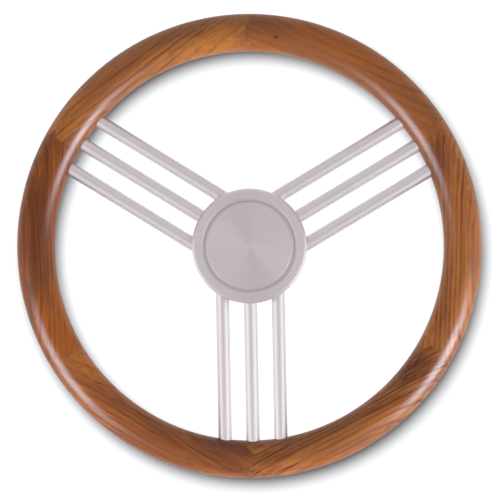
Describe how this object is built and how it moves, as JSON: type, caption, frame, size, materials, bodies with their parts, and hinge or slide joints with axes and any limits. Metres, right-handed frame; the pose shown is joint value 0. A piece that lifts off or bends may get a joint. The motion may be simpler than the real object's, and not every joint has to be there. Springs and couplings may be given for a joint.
{
  "type": "boat steering wheel",
  "caption": "Boat steering wheel: round varnished wooden rim in finger-jointed segments, groups of parallel round aluminium spokes, turned hub with tapered keyed bore and push-in cap.",
  "frame": {"origin": "on the wheel's axis, at the back face of the hub boss, which is also the lowest plane", "axes": "+Z along the axis towards the person who steers, +Y up in use, +X to their right; the bottom group of spokes points along -Y"},
  "size_m": [0.35, 0.35, 0.0442],
  "materials": {
    "varnished_hardwood": "gloss varnish over straight-grained hardwood",
    "anodised_bar": "drawn bar, satin anodised",
    "anodised_hub": "turned, satin anodised",
    "turned_cap": "faced on a lathe, satin anodised",
    "seal_rubber": "matt",
    "screw_steel": "stainless, plain"
  },
  "bodies": {
    "root": {"rim_segment_right": "varnished_hardwood", "rim_segment_upper_right": "varnished_hardwood", "rim_segment_upper_left": "varnished_hardwood", "rim_segment_left": "varnished_hardwood", "rim_segment_lower_left": "varnished_hardwood", "rim_segment_lower_right": "varnished_hardwood", "spoke_bottom_left": "anodised_bar", "spoke_bottom_middle": "anodised_bar", "spoke_bottom_right": "anodised_bar", "spoke_right_lower": "anodised_bar", "spoke_right_middle": "anodised_bar", "spoke_right_upper": "anodised_bar", "spoke_left_upper": "anodised_bar", "spoke_left_middle": "anodised_bar", "spoke_left_lower": "anodised_bar", "hub_body": "anodised_hub", "hub_cap": "turned_cap", "cap_seal": "seal_rubber", "spoke_grub_screws": "screw_steel"}
  },
  "joints": []
}
